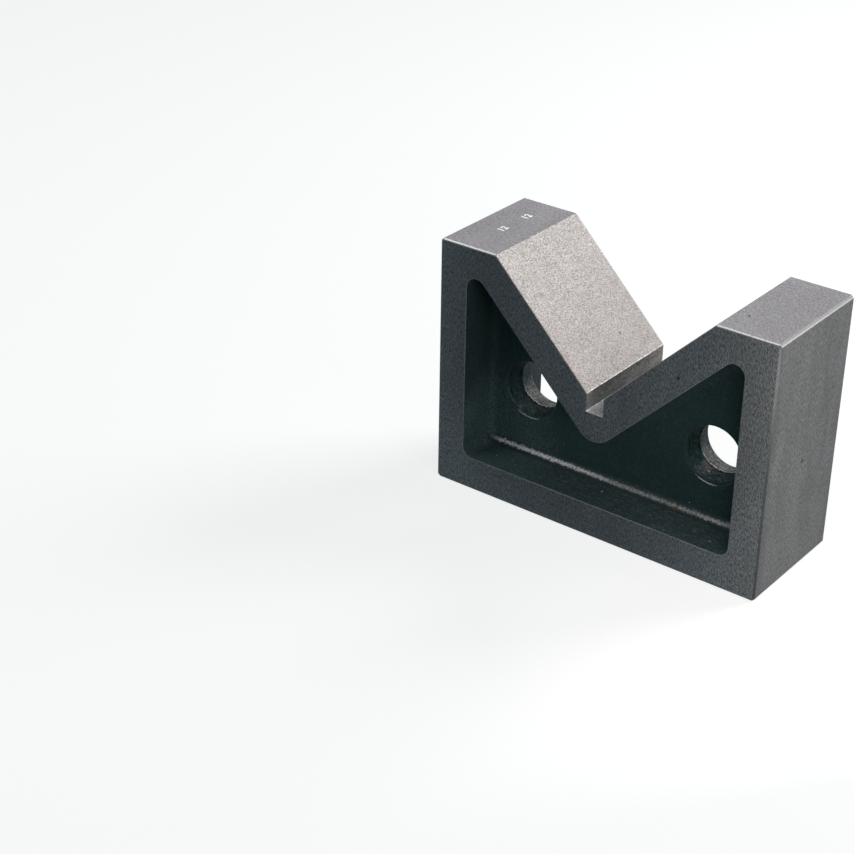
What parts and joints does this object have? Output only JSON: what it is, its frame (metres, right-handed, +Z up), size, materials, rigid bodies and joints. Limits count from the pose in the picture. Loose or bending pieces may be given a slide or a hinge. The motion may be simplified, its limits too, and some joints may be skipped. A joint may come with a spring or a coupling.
{
  "type": "v block",
  "caption": "Cast iron v block: a right-angled vee with a relief slot over a pocketed body and a holed web, for resting round work while it is marked out, measured or drilled.",
  "frame": {"origin": "middle of the base", "axes": "+X across the vee, +Y along the vee, +Z up out of the base"},
  "size_m": [0.15, 0.055, 0.107],
  "materials": {
    "block_iron": "machined grey iron outside, dark and as cast in the pockets and holes"
  },
  "bodies": {
    "root": {"v_block": "block_iron"}
  },
  "joints": []
}
